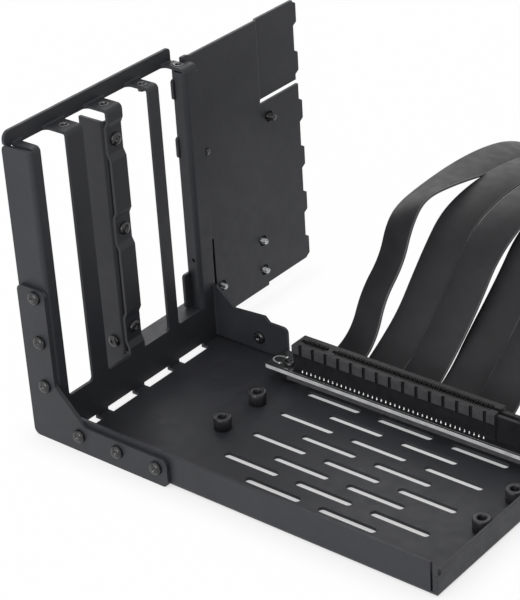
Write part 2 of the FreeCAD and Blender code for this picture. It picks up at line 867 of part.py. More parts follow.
def ribbon_path(x, route):
    """Straight runs joined by arcs as large as the runs allow, with the arcs' radii."""
    points = [FreeCAD.Vector(x, y_board_rear + y, z) for y, z in route]
    edges = []
    radii = []
    start = points[0]
    for before, here, after in zip(points, points[1:], points[2:]):
        turn = (here - before).getAngle(after - here)
        radius = 0.45 * min((here - before).Length, (after - here).Length) / math.tan(turn / 2)
        first, middle, last = rounded_corner(before, here, after, radius)
        edges.append(Part.LineSegment(start, first).toShape())
        edges.append(Part.Arc(first, middle, last).toShape())
        radii.append(round(radius, 1))
        start = last
    edges.append(Part.LineSegment(start, points[-1]).toShape())
    return Part.Wire(edges), radii


def ribbon(number):
    """A flat ribbon: its cross-section swept along its route from the board's rear edge to the plug."""
    x = x_slot + ribbon_from_slot + ribbon_pitch * number
    path, radii = ribbon_path(x, first_route if number == 0 else other_route)
    start = path.OrderedVertexes[0].Point
    half, thin = ribbon_width / 2, ribbon_thickness / 2
    along = path.OrderedEdges[0].tangentAt(path.OrderedEdges[0].FirstParameter)
    lift = along.cross(FreeCAD.Vector(1, 0, 0)).normalize() * -thin
    side = FreeCAD.Vector(half, 0, 0)
    corners = [start - side - lift, start + side - lift, start + side + lift, start - side + lift]
    section = Part.makePolygon(corners + corners[:1])
    solid = path.makePipeShell([section], True, False)
    share = solid.Volume / (ribbon_width * ribbon_thickness * path.Length)
    print(f"ribbon {number + 1}: length {path.Length:.1f}, radii {radii}, volume share {share:.4f}")
    return solid


def plug_datum():
    """The middle of the ribbons' far ends, where the plug begins."""
    x_middle = x_slot + ribbon_from_slot + ribbon_pitch * (ribbon_count - 1) / 2
    return x_middle, y_board_rear + first_route[-1][0]


def plug_cover():
    """The moulded grip at the ribbons' far end."""
    x_middle, y0 = plug_datum()
    half = plug_length / 2
    shape = rectangle(x_middle - half, x_middle + half, y0, y0 + plug_depth, plug_radius)
    return extrude("xy", shape, 0, plug_height)


def plug_board():
    """The card-edge tongue that stands out of the grip, with its key notch."""
    x_middle, y0 = plug_datum()
    low = plug_height / 2 - board_thickness / 2
    y1, y2 = y0 + plug_depth, y0 + plug_depth + finger_reach
    left, right = x_middle - finger_span / 2, x_middle + finger_span / 2
    high = low + board_thickness
    shape = [(left, y1), (right, y1), (right, y2, board_radius), (left, y2, board_radius)]
    tongue = extrude("xy", shape, low, high)
    key = left + finger_key
    y_notch = y2 - finger_setback - finger_length
    notch = block(key, key + key_width, y_notch, y2 + overrun, low - overrun, high + overrun)
    return tongue.cut(notch)


def plug_contacts():
    """Flat contact fingers on both faces of the tongue."""
    x_middle, y0 = plug_datum()
    left = x_middle - finger_span / 2
    count = int(finger_span // finger_pitch)
    low = plug_height / 2 - board_thickness / 2
    y1 = y0 + plug_depth + finger_reach - finger_setback
    solids = []
    for k in range(count):
        x = left + finger_pitch * (k + 0.5)
        if abs(x - left - finger_key - key_width / 2) < finger_pitch:
            continue
        for z in (low - finger_lift, low + board_thickness):
            left_edge, right_edge = x - finger_width / 2, x + finger_width / 2
            solids.append(block(left_edge, right_edge, y1 - finger_length, y1, z, z + finger_lift))
    return solids


def export(name, solids):
    shape = Part.makeCompound(solids) if isinstance(solids, list) else solids
    if not shape.isValid():
        print(f"{name} is not valid")
    shape.exportStep(f"parts/{name}.step")
    box = shape.BoundBox
    print(f"{name}: {len(shape.Solids)} solids, {shape.Volume:.0f} mm3, z {box.ZMin:.2f} to {box.ZMax:.2f}")


pieces = {
    "base_tray": base_tray,
    "slot_frame": slot_frame,
    "front_corner_bracket": front_corner_bracket,
    "corner_bracket_screws": corner_bracket_screws,
    "rear_ear_screw": rear_ear_screw,
    "divider_bracket": divider_bracket,
    "divider_screws": divider_screws,
    "slot_ledge": slot_ledge,
    "ledge_screw": ledge_screw_body,
    "chassis_plate": chassis_plate,
    "plate_screws": plate_screws,
    "plate_stop_screws": plate_stop_screws,
    "tray_standoffs": tray_standoffs,
    "riser_board": riser_board,
    "riser_insulator": riser_insulator,
    "riser_screws": riser_screws,
    "slot_housing": slot_housing,
    "slot_latch": slot_latch,
    "slot_contacts": slot_contacts,
    "solder_tails": solder_tails,
    "plug_cover": plug_cover,
    "plug_board": plug_board,
    "plug_contacts": plug_contacts,
}

os.makedirs("parts", exist_ok=True)
for piece_name, make in pieces.items():
    export(piece_name, make())
for number in range(ribbon_count):
    export(f"ribbon_{number + 1}", ribbon(number))
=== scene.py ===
# %% [markdown]
# A vertical graphics card mount holds a graphics card upright inside a computer's case. It is folded from
# black steel sheet: a flat tray, and an end frame with four openings for the card's bracket. On the
# tray a riser board carries the long card slot, and five flat ribbons run from it to a plug.
#
# The shapes were drawn and measured in a CAD program. This lesson loads them as a fixed frame and then
# gives each piece what makes it look real: soft edges, finishes with grain, real screws, and ribbons that
# hang like ribbons. Every object is in metres, so sizes in millimetres are multiplied by MM.

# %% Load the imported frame
import json
import math

import bmesh
import bpy
from mathutils import Matrix, Vector


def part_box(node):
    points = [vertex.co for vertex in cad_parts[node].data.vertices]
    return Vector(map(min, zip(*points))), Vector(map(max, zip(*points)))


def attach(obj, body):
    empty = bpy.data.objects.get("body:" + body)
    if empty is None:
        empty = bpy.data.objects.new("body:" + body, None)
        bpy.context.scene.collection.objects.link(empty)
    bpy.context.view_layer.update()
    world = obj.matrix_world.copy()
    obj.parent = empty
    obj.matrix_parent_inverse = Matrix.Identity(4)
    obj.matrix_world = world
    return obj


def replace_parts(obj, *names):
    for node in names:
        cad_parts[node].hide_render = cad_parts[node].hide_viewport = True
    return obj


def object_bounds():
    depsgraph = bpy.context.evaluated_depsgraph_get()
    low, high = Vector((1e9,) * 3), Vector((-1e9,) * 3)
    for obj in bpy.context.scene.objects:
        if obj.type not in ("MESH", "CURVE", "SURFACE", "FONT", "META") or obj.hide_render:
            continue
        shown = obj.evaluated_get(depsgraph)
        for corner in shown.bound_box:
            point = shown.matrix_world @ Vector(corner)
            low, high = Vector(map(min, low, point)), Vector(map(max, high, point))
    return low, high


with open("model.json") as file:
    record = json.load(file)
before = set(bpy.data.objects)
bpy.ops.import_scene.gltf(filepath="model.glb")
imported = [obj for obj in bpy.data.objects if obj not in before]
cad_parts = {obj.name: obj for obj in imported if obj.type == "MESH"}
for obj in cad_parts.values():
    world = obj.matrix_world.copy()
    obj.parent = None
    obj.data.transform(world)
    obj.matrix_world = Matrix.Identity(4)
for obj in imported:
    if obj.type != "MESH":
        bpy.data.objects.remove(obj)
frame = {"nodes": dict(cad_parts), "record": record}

MM = 0.001
cad = frame["nodes"]
cad_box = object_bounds()
print(len(cad), "pieces, overall", [round(s / MM, 1) for s in cad_box[1] - cad_box[0]], "mm")

# %% [markdown]
# The camera comes first, because every later choice is judged through it. The picture was taken from the
# front right and from above. Three angles say where the camera looks from: how far it is turned round the
# object, how far it looks down, and how far it is rolled. They give a camera's three directions: its right,
# its up, and the way back from what it looks at. A long lens keeps the tray's edges almost parallel.

# %% Place the camera
camera_place = Vector((383.95, -479.15, 410.6)) * MM
turned, tilted, rolled = (math.radians(angle) for angle in (40.32, 29.44, -3.67))

backward = Vector((
    math.sin(turned) * math.cos(tilted), -math.cos(turned) * math.cos(tilted), math.sin(tilted),
))
level = Vector((math.cos(turned), math.sin(turned), 0))
upright = backward.cross(level)
sideways = level * math.cos(rolled) + upright * math.sin(rolled)
upward = upright * math.cos(rolled) - level * math.sin(rolled)
camera_turn = Matrix((sideways, upward, backward)).transposed().to_4x4()


def put_in_scene(name, data):
    """A new object in the scene, made from its data."""
    thing = bpy.data.objects.new(name, data)
    bpy.context.scene.collection.objects.link(thing)
    return thing


camera_data = bpy.data.cameras.new("photo_camera")
camera_data.lens = 124.27
camera_data.sensor_width = 36
camera = put_in_scene("photo_camera", camera_data)
camera.matrix_world = Matrix.Translation(camera_place) @ camera_turn
bpy.context.scene.camera = camera
print("camera", round(camera_place.length / MM), "mm from the tray's middle")

# %% [markdown]
# Each finish below is a small network of nodes around Blender's main surface shader. No real surface has
# one even tone, so noise does most of the work. It is tied to the object, so each grain has a real size
# in millimetres. Helpers make a node with its inputs, and with that a noise, a value fitted between two
# limits, a blend of colours, and a relief. Colours are linear, so a black paint is about 0.03.

# %% Nodes for finishes
usual_low, usual_high = 0.3, 0.7


def new_node(tree, kind, inputs):
    """A shader node with inputs given by name or number, as plain values or sockets to link from."""
    node = tree.nodes.new("ShaderNode" + kind)
    for name, value in inputs.items():
        if isinstance(value, bpy.types.NodeSocket):
            tree.links.new(value, node.inputs[name])
        else:
            node.inputs[name].default_value = value
    return node


def on_object(tree):
    """Coordinates that are fixed to the object."""
    return tree.nodes["on_object"].outputs["Object"]


def grain(tree, size):
    """Noise with spots of about the given size in mm. Most of it lies in the usual range."""
    inputs = {"Vector": on_object(tree), "Scale": 1 / (size * MM), "Detail": 3.0}
    return new_node(tree, "TexNoise", inputs).outputs["Fac"]


def faded(tree, value, start, end, low, high):
    """Turns a value between start and end into one between low and high."""
    inputs = {"Value": value, "From Min": start, "From Max": end, "To Min": low, "To Max": high}
    return new_node(tree, "MapRange", inputs).outputs["Result"]


def shades(tree, value, dark, light):
    """A blend of two colours by a noise value."""
    ramp = new_node(tree, "ValToRGB", {"Fac": value})
    for stop, position, colour in zip(ramp.color_ramp.elements, (usual_low, usual_high), (dark, light)):
        stop.position = position
        stop.color = (*colour, 1)
    return ramp.outputs["Color"]


def relief(tree, value, height, strength, edge=None):
    """Raises the shading by a value, up to a height in mm, over edges rounded by a radius in mm."""
    inputs = {"Height": value, "Distance": height * MM, "Strength": strength}
    if edge:
        inputs["Normal"] = new_node(tree, "Bevel", {"Radius": edge * MM}).outputs["Normal"]
    return new_node(tree, "Bump", inputs).outputs["Normal"]


# %% [markdown]
# Paint, plating and plastic differ in their numbers, but they are put together alike. Mostly a coarse
# noise lets the colour drift between two tones, a finer one changes the roughness, and the finest raises the
# skin. How much a finish is metal, and how strongly it mirrors, is the same all over, so those two are set
# directly on the shader.

# %% Put a finish together
def make_finish(name, colour, shine, skin=None, metal=0.0, gloss=0.5, edge=None):
    """A finish from grains in mm: (size, dark, light), (size, smooth, rough), (size, height, strength)."""
    material = bpy.data.materials.new(name)
    material.use_nodes = True
    tree = material.node_tree
    tree.nodes.new("ShaderNodeTexCoord").name = "on_object"
    surface = tree.nodes["Principled BSDF"].inputs
    surface["Metallic"].default_value = metal
    surface["Specular IOR Level"].default_value = gloss
    size, dark, light = colour
    tree.links.new(shades(tree, grain(tree, size), dark, light), surface["Base Color"])
    size, smooth, rough = shine
    roughness = faded(tree, grain(tree, size), usual_low, usual_high, smooth, rough)
    tree.links.new(roughness, surface["Roughness"])
    if skin:
        size, height, strength = skin
        tree.links.new(relief(tree, grain(tree, size), height, strength, edge), surface["Normal"])
    print("finish", name)
    return material


# %% [markdown]
# A flat ribbon cable is many thin wires side by side in one soft sleeve. It can bend up and down but
# not sideways, so it rises from the board in an arch and comes down again to its plug. One could bend
# a flat box with a modifier, but a smooth curve is easier to steer by a few points. The routes are the
# ones that the solids follow: distance behind the board's rear edge, then height.

# %% Routes of the ribbons
first_route = (
    (0.0, 7.0), (7.6, 7.0), (16.4, 14.8), (24.4, 26.9), (32.4, 39.4), (40.4, 50.4), (50.4, 56.9),
    (67.4, 58.8), (88.4, 56.8), (108.4, 53.1), (128.4, 46.9), (147.4, 37.4), (162.4, 24.9), (173.4, 13.5),
    (184.4, 3.2), (192.4, 3.2),
)
other_route = (
    (0.0, 7.0), (6.2, 7.0), (14.4, 14.4), (23.4, 24.2), (33.4, 34.6), (43.4, 43.8), (54.4, 50.3),
    (67.4, 53.8), (84.4, 54.9), (104.4, 53.0), (125.4, 47.7), (144.4, 38.4), (160.4, 25.3), (172.9, 13.0),
    (184.4, 3.2), (192.4, 3.2),
)
board_low, board_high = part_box("riser_board")
print("routes of", len(first_route), "points, from", round(board_high.y / MM, 1), "mm behind the middle")

# %% [markdown]
# No ribbon hangs just like its neighbour. The first stands apart and is turned about its own line, the
# third lies higher than the second like a roof tile, and the fourth sags below the fifth and is turned a
# little. Those differences are small moves at nine of the route's points: sideways, outwards from the arch,
# and a turn in degrees. Between those points a move changes evenly, and at the board and the plug it
# is nothing.

# %% Small moves of each ribbon
moved_points = (1, 2, 3, 4, 5, 6, 7, 8, 10)
sideways_mm = {
    "ribbon_1": (0.5, 2.0, 1.0, 3.0, 1.5, 0.5, 2.0, 3.0, 1.5),
    "ribbon_2": (0.0, 1.2, 3.2, 3.5, 3.5, 2.5, 2.0, 2.0, 1.5),
    "ribbon_3": (0.0, 1.0, 2.2, 3.5, 4.0, 5.0, 4.5, 4.0, 2.0),
    "ribbon_4": (0.0, 0.2, 0.2, 1.4, 2.4, 2.5, 2.0, 1.8, 1.8),
    "ribbon_5": (0.0, 0.5, 2.3, 3.5, 3.8, 3.3, 2.6, 1.9, 1.8),
}
outward_mm = {
    "ribbon_1": (0.0, -0.5, 0.0, -2.0, -1.5, -2.0, -3.0, -2.5, -1.0),
    "ribbon_2": (0.0, -1.5, -2.0, -1.2, -0.5, 0.0, -0.5, -0.5, -0.5),
    "ribbon_3": (0.0, -0.3, -0.5, 0.8, 3.0, 3.5, 2.5, 1.0, 0.5),
    "ribbon_4": (0.0, -3.6, -4.7, -4.7, -3.9, -1.9, -0.8, -0.3, 0.0),
}
turned_degrees = {
    "ribbon_1": (10, 20, 22, 23, 23, 28, 15, -3, -12),
    "ribbon_4": (-3, -10, -6, -2, -2, -10, -6, -2, 0),
}
settled_point = 13
unmoved = (0.0,) * len(moved_points)


def move_at(values, number):
    """A move at one point of a route, which changes evenly between the moved points."""
    known = [(0, 0.0), *zip(moved_points, values), (settled_point, 0.0)]
    for (before, start), (after, end) in zip(known, known[1:]):
        if before <= number <= after:
            return start + (end - start) * (number - before) / (after - before)
    return 0.0


print(len(sideways_mm), "ribbons moved at", len(moved_points), "points each")


# %% [markdown]
# The route's few points pull on a NURBS spline, which passes smoothly between them as a springy strip
# would. Blender then gives back a line of close points along it, and the curve itself is thrown away. A
# curve could have a thickness and a twist of its own, but a second line along the edge is easier to steer.

# %% Read a smooth line from a route
def smooth_line(name, places):
    """Close points along the NURBS spline that has the given places as its control points."""
    curve = bpy.data.curves.new(name, "CURVE")
    curve.dimensions = "3D"
    curve.resolution_u = 8
    spline = curve.splines.new("NURBS")
    spline.points.add(len(places) - 1)
    for point, place in zip(spline.points, places):
        point.co = (*place, 1)
    spline.order_u = 3
    spline.use_endpoint_u = True
    holder = bpy.data.objects.new(name, curve)
    line = bpy.data.meshes.new_from_object(holder)
    points = [vertex.co.copy() for vertex in line.vertices]
    bpy.data.objects.remove(holder)
    bpy.data.curves.remove(curve)
    bpy.data.meshes.remove(line)
    return points


# %% [markdown]
# The sleeve is black plastic with a soft shine. Its wires show as very fine lengthwise ridges, which
# are far too many to model. A wave that repeats across the ribbon's width draws them as relief. At a scale
# of one Blender's wave is 0.314 m long, so the scale follows from the distance of the wires. Along both
# round edges the plastic is smoother, and its paler colour there is a painted highlight.

# %% Ribbon finishes
ribbon_sleeve = make_finish("ribbon_sleeve", (9, (0.026, 0.026, 0.028), (0.033, 0.033, 0.036)),
                            (5, 0.40, 0.52), gloss=0.15)
# The edge finish is smoother, and its paler colour is a painted highlight along the round edges.
ribbon_edge_highlight = make_finish("ribbon_edge_highlight", (6, (0.036, 0.036, 0.039), (0.056, 0.056, 0.060)),
                          (3, 0.26, 0.40), (0.8, 0.03, 0.3))

wire_pitch, wave_at_scale_one = 0.64 * MM, 0.314
ridge_height, ridge_strength = 0.05, 0.3
sleeve_tree = ribbon_sleeve.node_tree
wave_inputs = {"Vector": on_object(sleeve_tree), "Scale": wave_at_scale_one / wire_pitch}
wires = new_node(sleeve_tree, "TexWave", wave_inputs)
wires.bands_direction = "X"
ridges = relief(sleeve_tree, wires.outputs["Fac"], ridge_height, ridge_strength)
sleeve_tree.links.new(ridges, sleeve_tree.nodes["Principled BSDF"].inputs["Normal"])
print("wires", wire_pitch / MM, "mm apart")


# %% [markdown]
# New shapes are built in three steps. A bmesh is a workbench for loose corners and faces, where rings of
# corners are joined into a skin. The finished skin is kept as mesh data. The data then becomes a piece
# of the mount: it gets its finishes and rides on the one body.

# %% From rings to a piece
def join_rings(mesh, rings):
    """Faces between each ring of corners and the next one."""
    count = len(rings[0])
    for ring, following in zip(rings, rings[1:]):
        for k in range(count):
            mesh.faces.new((ring[k], ring[(k + 1) % count], following[(k + 1) % count], following[k]))


def closed_skin(mesh, rings):
    """The same, with a face over the first ring and one over the last."""
    join_rings(mesh, rings)
    mesh.faces.new(rings[0])
    mesh.faces.new(rings[-1])


def mesh_data(name, mesh, smooth=True):
    """Keeps a finished bmesh as mesh data, smooth shaded or flat."""
    bmesh.ops.recalc_face_normals(mesh, faces=mesh.faces)
    for face in mesh.faces:
        face.smooth = smooth
    data = bpy.data.meshes.new(name)
    mesh.to_mesh(data)
    mesh.free()
    return data


def new_piece(name, data, slot, *finishes):
    """A new piece of the mount, made from mesh data."""
    piece = put_in_scene(name, data)
    for material in finishes:
        data.materials.append(material)
    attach(piece, "root")
    return piece


# %% [markdown]
# The section of a ribbon is a flat strip whose two thin edges are round, and that is what catches the
# light along its sides. Ring after ring of that section is laid along the line, and neighbouring rings are
# joined by faces. A second line along the ribbon's right edge tells each ring which way to lie. The
# ends are closed, so the ribbon is solid. The faces of the round edges get the second finish, a painted
# highlight.

# %% Lay a ribbon along its line
edge_steps = 5
flat_faces = (edge_steps - 1, 2 * edge_steps - 1)


def ribbon_section(width, thickness):
    """The outline across a ribbon, with half a circle at each side."""
    rounding = thickness / 2
    section = []
    for side in (1, -1):
        for step in range(edge_steps):
            angle = side * math.pi / 2 * (1 - 2 * step / (edge_steps - 1))
            section.append((side * (width / 2 - rounding) + side * rounding * math.cos(angle),
                            rounding * math.sin(angle)))
    return section


def ribbon_strip(name, line, edge_line, section):
    """A flat strip along a line, lying flat towards its edge line."""
    mesh = bmesh.new()
    rings = []
    for index, (place, edge) in enumerate(zip(line, edge_line)):
        ahead = (line[min(index + 1, len(line) - 1)] - line[max(index - 1, 0)]).normalized()
        across = edge - place
        across = (across - ahead * across.dot(ahead)).normalized()
        lift = across.cross(ahead)
        rings.append([mesh.verts.new(place + across * u + lift * v) for u, v in section])
    closed_skin(mesh, rings)
    # Faces of the round edges get the second finish, the painted highlight.
    for number, face in enumerate(list(mesh.faces)[:-2]):
        if number % len(section) not in flat_faces:
            face.material_index = 1
    return mesh_data(name, mesh)


# %% [markdown]
# Now the five ribbons are made. Each point of a route gets its move, and with it a place on the ribbon's
# right edge. Each ribbon has the width of its solid, and its length is printed.

# %% Make the ribbons
ribbon_thickness = 1.0 * MM

for name in sideways_mm:
    low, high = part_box(name)
    width = high.x - low.x
    route = first_route if name == "ribbon_1" else other_route
    places, edge_places = [], []
    for number, (behind, height) in enumerate(route):
        before, after = route[max(number - 1, 0)], route[min(number + 1, len(route) - 1)]
        slope = math.atan2(after[1] - before[1], after[0] - before[0])
        outward = Vector((0, -math.sin(slope), math.cos(slope)))
        turn = math.radians(move_at(turned_degrees.get(name, unmoved), number))
        place = Vector(((low.x + high.x) / 2, board_high.y + behind * MM, height * MM))
        place.x += move_at(sideways_mm[name], number) * MM
        place += outward * move_at(outward_mm.get(name, unmoved), number) * MM
        across = Vector((math.cos(turn), 0, 0)) + outward * math.sin(turn)
        places.append(place)
        edge_places.append(place + across * width / 2)
    line = smooth_line(name + "_line", places)
    edge_line = smooth_line(name + "_edge", edge_places)
    data = ribbon_strip(name + "_strip", line, edge_line, ribbon_section(width, ribbon_thickness))
    strip = new_piece(name + "_strip", data, "ribbon", ribbon_sleeve, ribbon_edge_highlight)
    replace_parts(strip, name)
    length = sum((b - a).length for a, b in zip(line, line[1:]))
    print(name, "is", round(length / MM), "mm long")

# %% [markdown]
# Folded steel is never sharp: the press and the paint round every edge, and those thin rounded lines are
# what the eye reads as painted metal. The CAD meshes come as loose triangles, so modifiers do the work
# without touching the mesh itself. Weld joins the triangles. Small plain pieces then get a real Bevel. On
# large sheets with all their holes a Bevel would pull spikes out of long triangles, so there the edges are
# only split, Weighted Normal keeps folds smooth and faces flat, and the finish rounds the edges' shine.

# %% Soft edges
flat_angle = math.radians(0.6)
fold_angle = math.radians(30)
corner_angle = math.radians(35)


def join_triangles(piece):
    weld = piece.modifiers.new("join", "WELD")
    weld.merge_threshold = 0.002 * MM


def smooth_folds(piece):
    """Smooth curved faces and flat plain ones, with every sharp edge left sharp."""
    join_triangles(piece)
    split = piece.modifiers.new("keep_sharp_edges", "EDGE_SPLIT")
    split.split_angle = fold_angle
    piece.modifiers.new("smooth_curves", "WEIGHTED_NORMAL")


def soften(piece, width):
    """Rounds a small plain piece's sharp edges by a width in mm."""
    join_triangles(piece)
    clear = piece.modifiers.new("clear_flat_faces", "DECIMATE")
    clear.decimate_type = "DISSOLVE"
    clear.angle_limit = flat_angle
    bevel = piece.modifiers.new("soft_edges", "BEVEL")
    bevel.width = width * MM
    bevel.segments = 2
    bevel.limit_method = "ANGLE"
    bevel.angle_limit = corner_angle
    piece.modifiers.new("flat_faces", "WEIGHTED_NORMAL")


def dress(name, material):
    """Gives a CAD piece its finish."""
    cad[name].data.materials.clear()
    cad[name].data.materials.append(material)
    return cad[name]


# %% [markdown]
# The sheets are powder coated: charged powder is sprayed on and melted into a thin black skin. Close up it
# has the texture of orange peel, which the finest noise gives as relief, and its shine is broad and soft.
# The coarse noise lets the black drift a little, so that wide faces are not one flat tone.

# %% Powder coat on the sheets
powder_coat = make_finish("black_powder_coat", (22, (0.029, 0.030, 0.035), (0.037, 0.038, 0.044)),
                          (4, 0.40, 0.52), (0.45, 0.03, 0.45), gloss=0.3, edge=0.3)
sheets = ["base_tray", "slot_frame", "front_corner_bracket", "divider_bracket", "slot_ledge"]
for name in sheets:
    smooth_folds(dress(name, powder_coat))
print("powder coat on", len(sheets), "sheets, and later on the plate")

# %% [markdown]
# Below its lowest screw the divider ends in a corner, and there the CAD leaves a small gap behind the wall.
# A gusset closes it: a flat web in line with the divider's side, beside its foot, that takes its angle's
# corner in a notch. Its outline is drawn in the frame's x and z.

# %% Gusset under the divider
def drawn_out(mesh, *outlines):
    """A closed block between two outlines of corners."""
    closed_skin(mesh, [[mesh.verts.new(corner) for corner in outline] for outline in outlines])


def flat_piece(name, mesh, slot, material, edge):
    """Keeps a flat sided shape as a piece with soft edges."""
    soften(new_piece(name, mesh_data(name, mesh, smooth=False), slot, material), edge)


gusset_outline = (
    (-87.0, 5.0), (-84.6, 6.2), (-83.0, 10.0), (-83.0, 18.0), (-84.1, 18.0), (-84.1, 16.4), (-87.0, 16.4),
)
divider_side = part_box("divider_bracket")[0].y
gusset_faces = (divider_side + 0.05 * MM, divider_side + 1.15 * MM)
gusset_mesh = bmesh.new()
drawn_out(gusset_mesh, *[[(x * MM, y, z * MM) for x, z in gusset_outline] for y in gusset_faces])
flat_piece("divider_gusset", gusset_mesh, "black_sheet", powder_coat, 0.15)
print("gusset of", len(gusset_outline), "corners")

# %% [markdown]
# A screw's pan head is turned, so it is made as on a lathe: half an outline is spun round its axis. An
# outline is given in shares of a radius and a height, so one serves every size. The shank has a real
# thread: its radius rises and falls along a helix, by a formula.

# %% Turned and threaded bodies
same_place = 0.001 * MM
thread_pitch = 0.5 * MM
thread_steps = 24
rows_in_turn = 6
rod_depth, bore_depth = 0.3 * thread_pitch, 0.25 * thread_pitch
tip_slope = 0.3


def turned_body(name, outline, radius, height, steps=36):
    """Spins an outline, in shares of a radius and a height, round the vertical axis."""
    mesh = bmesh.new()
    corners = [mesh.verts.new((across * radius, 0, up * height)) for across, up in outline]
    edges = [mesh.edges.new(pair) for pair in zip(corners, corners[1:])]
    bmesh.ops.spin(mesh, geom=corners + edges, cent=(0, 0, 0), axis=(0, 0, 1),
                   angle=2 * math.pi, steps=steps, use_duplicate=False)
    bmesh.ops.remove_doubles(mesh, verts=mesh.verts, dist=same_place)
    return mesh_data(name, mesh)


def thread_ring(mesh, radius, height, depth=0.0):
    """One ring of a thread: its radius dips once a turn, at a place that climbs with the height."""
    corners = []
    for step in range(thread_steps):
        phase = (height / thread_pitch - step / thread_steps) % 1
        reach = radius - depth * abs(2 * phase - 1)
        angle = 2 * math.pi * step / thread_steps
        corners.append(mesh.verts.new((reach * math.cos(angle), reach * math.sin(angle), height)))
    return corners


def thread_heights(bottom, top):
    """Even steps between two heights, several to each turn of the thread."""
    rows = max(2, round((top - bottom) / thread_pitch * rows_in_turn))
    return [bottom + (top - bottom) * row / rows for row in range(rows + 1)]


def threaded_rod(mesh, radius, bottom, top):
    """A closed rod with a thread between two heights, and a sloping lower end."""
    slope = tip_slope * radius
    rings = [thread_ring(mesh, radius - slope, bottom)]
    for height in thread_heights(bottom + slope, top):
        rings.append(thread_ring(mesh, radius, height, rod_depth))
    closed_skin(mesh, rings)


print("thread of", thread_pitch / MM, "mm to a turn")


# %% [markdown]
# The cross for the screwdriver is cut out of the head with a boolean. Each of its two arms is a bar that
# gets shorter towards its lower end, as the tip of a screwdriver does. All screws of one size are copies,
# so the cut is made only once for each size, and its result is kept as plain mesh data.

# %% Cut the cross and join head and shank
pan_outline = (
    (0, 1), (0.45, 0.99), (0.68, 0.93), (0.86, 0.78), (0.96, 0.55), (1, 0.28), (1, 0.06), (0.97, 0), (0, 0),
)
arm_size, arm_middle, arm_taper = (1.16, 0.27, 1.2), 1.05, 0.45
shank_overlap = 0.2 * MM


def cut_away(data, cutter):
    """The first mesh with the second one cut out of it."""
    body, tool = put_in_scene("cut_body", data), put_in_scene("cut_tool", cutter)
    boolean = body.modifiers.new("cut", "BOOLEAN")
    boolean.operation = "DIFFERENCE"
    boolean.object = tool
    bpy.context.view_layer.update()
    ready = body.evaluated_get(bpy.context.evaluated_depsgraph_get())
    result = bpy.data.meshes.new_from_object(ready)
    for thing in (body, tool):
        bpy.data.objects.remove(thing)
    return result


def screw_data(radius, height, shank_radius, shank_length):
    """A pan head screw that sits on height 0, with its head up."""
    data = turned_body("head", pan_outline, radius, height)
    long, wide, tall = arm_size
    for angle in (0, math.pi / 2):
        arm = bmesh.new()
        corners = bmesh.ops.create_cube(arm, size=1)["verts"]
        bmesh.ops.scale(arm, vec=(long * radius, wide * radius, tall * height), verts=corners)
        bmesh.ops.translate(arm, vec=(0, 0, arm_middle * height), verts=corners)
        for corner in corners:
            if corner.co.z < height:
                corner.co.x *= arm_taper
        bmesh.ops.rotate(arm, cent=(0, 0, 0), matrix=Matrix.Rotation(angle, 3, "Z"), verts=corners)
        data = cut_away(data, mesh_data("cross_arm", arm, smooth=False))
    whole = bmesh.new()
    whole.from_mesh(data)
    threaded_rod(whole, shank_radius, -shank_length, shank_overlap)
    return mesh_data("screw", whole)


# %% [markdown]
# The CAD frame knows where every screw is. A node such as corner_bracket_screws holds several separate
# solids, and a walk along the joined edges finds each one's box. Sizes and places come from those boxes, so
# no place is typed in. All copies of a node become one object, as they are one node in the frame.

# %% Find the separate solids of a piece
def solids_of(name):
    """The lowest and highest corner of each separate solid in a CAD piece."""
    mesh = bmesh.new()
    mesh.from_mesh(cad[name].data)
    bmesh.ops.remove_doubles(mesh, verts=mesh.verts, dist=same_place)
    waiting = set(mesh.verts)
    boxes = []
    while waiting:
        reached = [waiting.pop()]
        places = []
        while reached:
            vert = reached.pop()
            places.append(vert.co.copy())
            for edge in vert.link_edges:
                other = edge.other_vert(vert)
                if other in waiting:
                    waiting.remove(other)
                    reached.append(other)
        boxes.append((Vector(map(min, *places)), Vector(map(max, *places))))
    mesh.free()
    return sorted(boxes, key=lambda box: tuple(round(value, 5) for value in box[0]))


def join_copies(name, copies, slot, material, smooth=True):
    """One piece made of several meshes, each moved to its own placement."""
    whole = bmesh.new()
    for data, placement in copies:
        copy = data.copy()
        copy.transform(placement)
        whole.from_mesh(copy)
        bpy.data.meshes.remove(copy)
    return new_piece(name, mesh_data(name, whole, smooth), slot, material)


def on_bottoms(data, boxes):
    """Placements of a mesh that stands on the middle of each box's bottom."""
    return [(data, Matrix.Translation(((low.x + high.x) / 2, (low.y + high.y) / 2, low.z)))
            for low, high in boxes]


print("the corner bracket has", len(solids_of("corner_bracket_screws")), "screws")


# %% [markdown]
# Most screws are plated black: about as dark as the paint, but smoother, so that the rim and the cross of
# each head catch small bright spots. The three screws of the rear plate are plain zinc, which is why their
# tips shine in the picture. Threaded inserts, which come later, are dull steel. The finishes are partly
# metal in the shader, with a fine noise in their roughness from the tumbling that screws get.

# %% Screw finishes
def make_screw_finish(name, metal, dark, light, smooth, rough):
    return make_finish(name, (1.2, dark, light), (0.6, smooth, rough), (0.25, 0.01, 0.3), metal, gloss=0.7)


black_plate = make_screw_finish(
    "black_plate", 0.2, (0.008, 0.008, 0.009), (0.016, 0.016, 0.018), 0.14, 0.24)
bright_zinc = make_screw_finish(
    "bright_zinc", 0.9, (0.26, 0.27, 0.28), (0.52, 0.52, 0.53), 0.20, 0.34)
dull_steel = make_screw_finish(
    "dull_steel", 0.7, (0.07, 0.07, 0.07), (0.17, 0.17, 0.17), 0.24, 0.40)

# %% [markdown]
# Now each screw is set. Its row says which way the head looks, the head's height and the shank's radius in
# millimetres, and the finish. The head's width and the length come from the solid's box. The cross of
# each screw is turned by its own amount, as no two screws are driven alike.

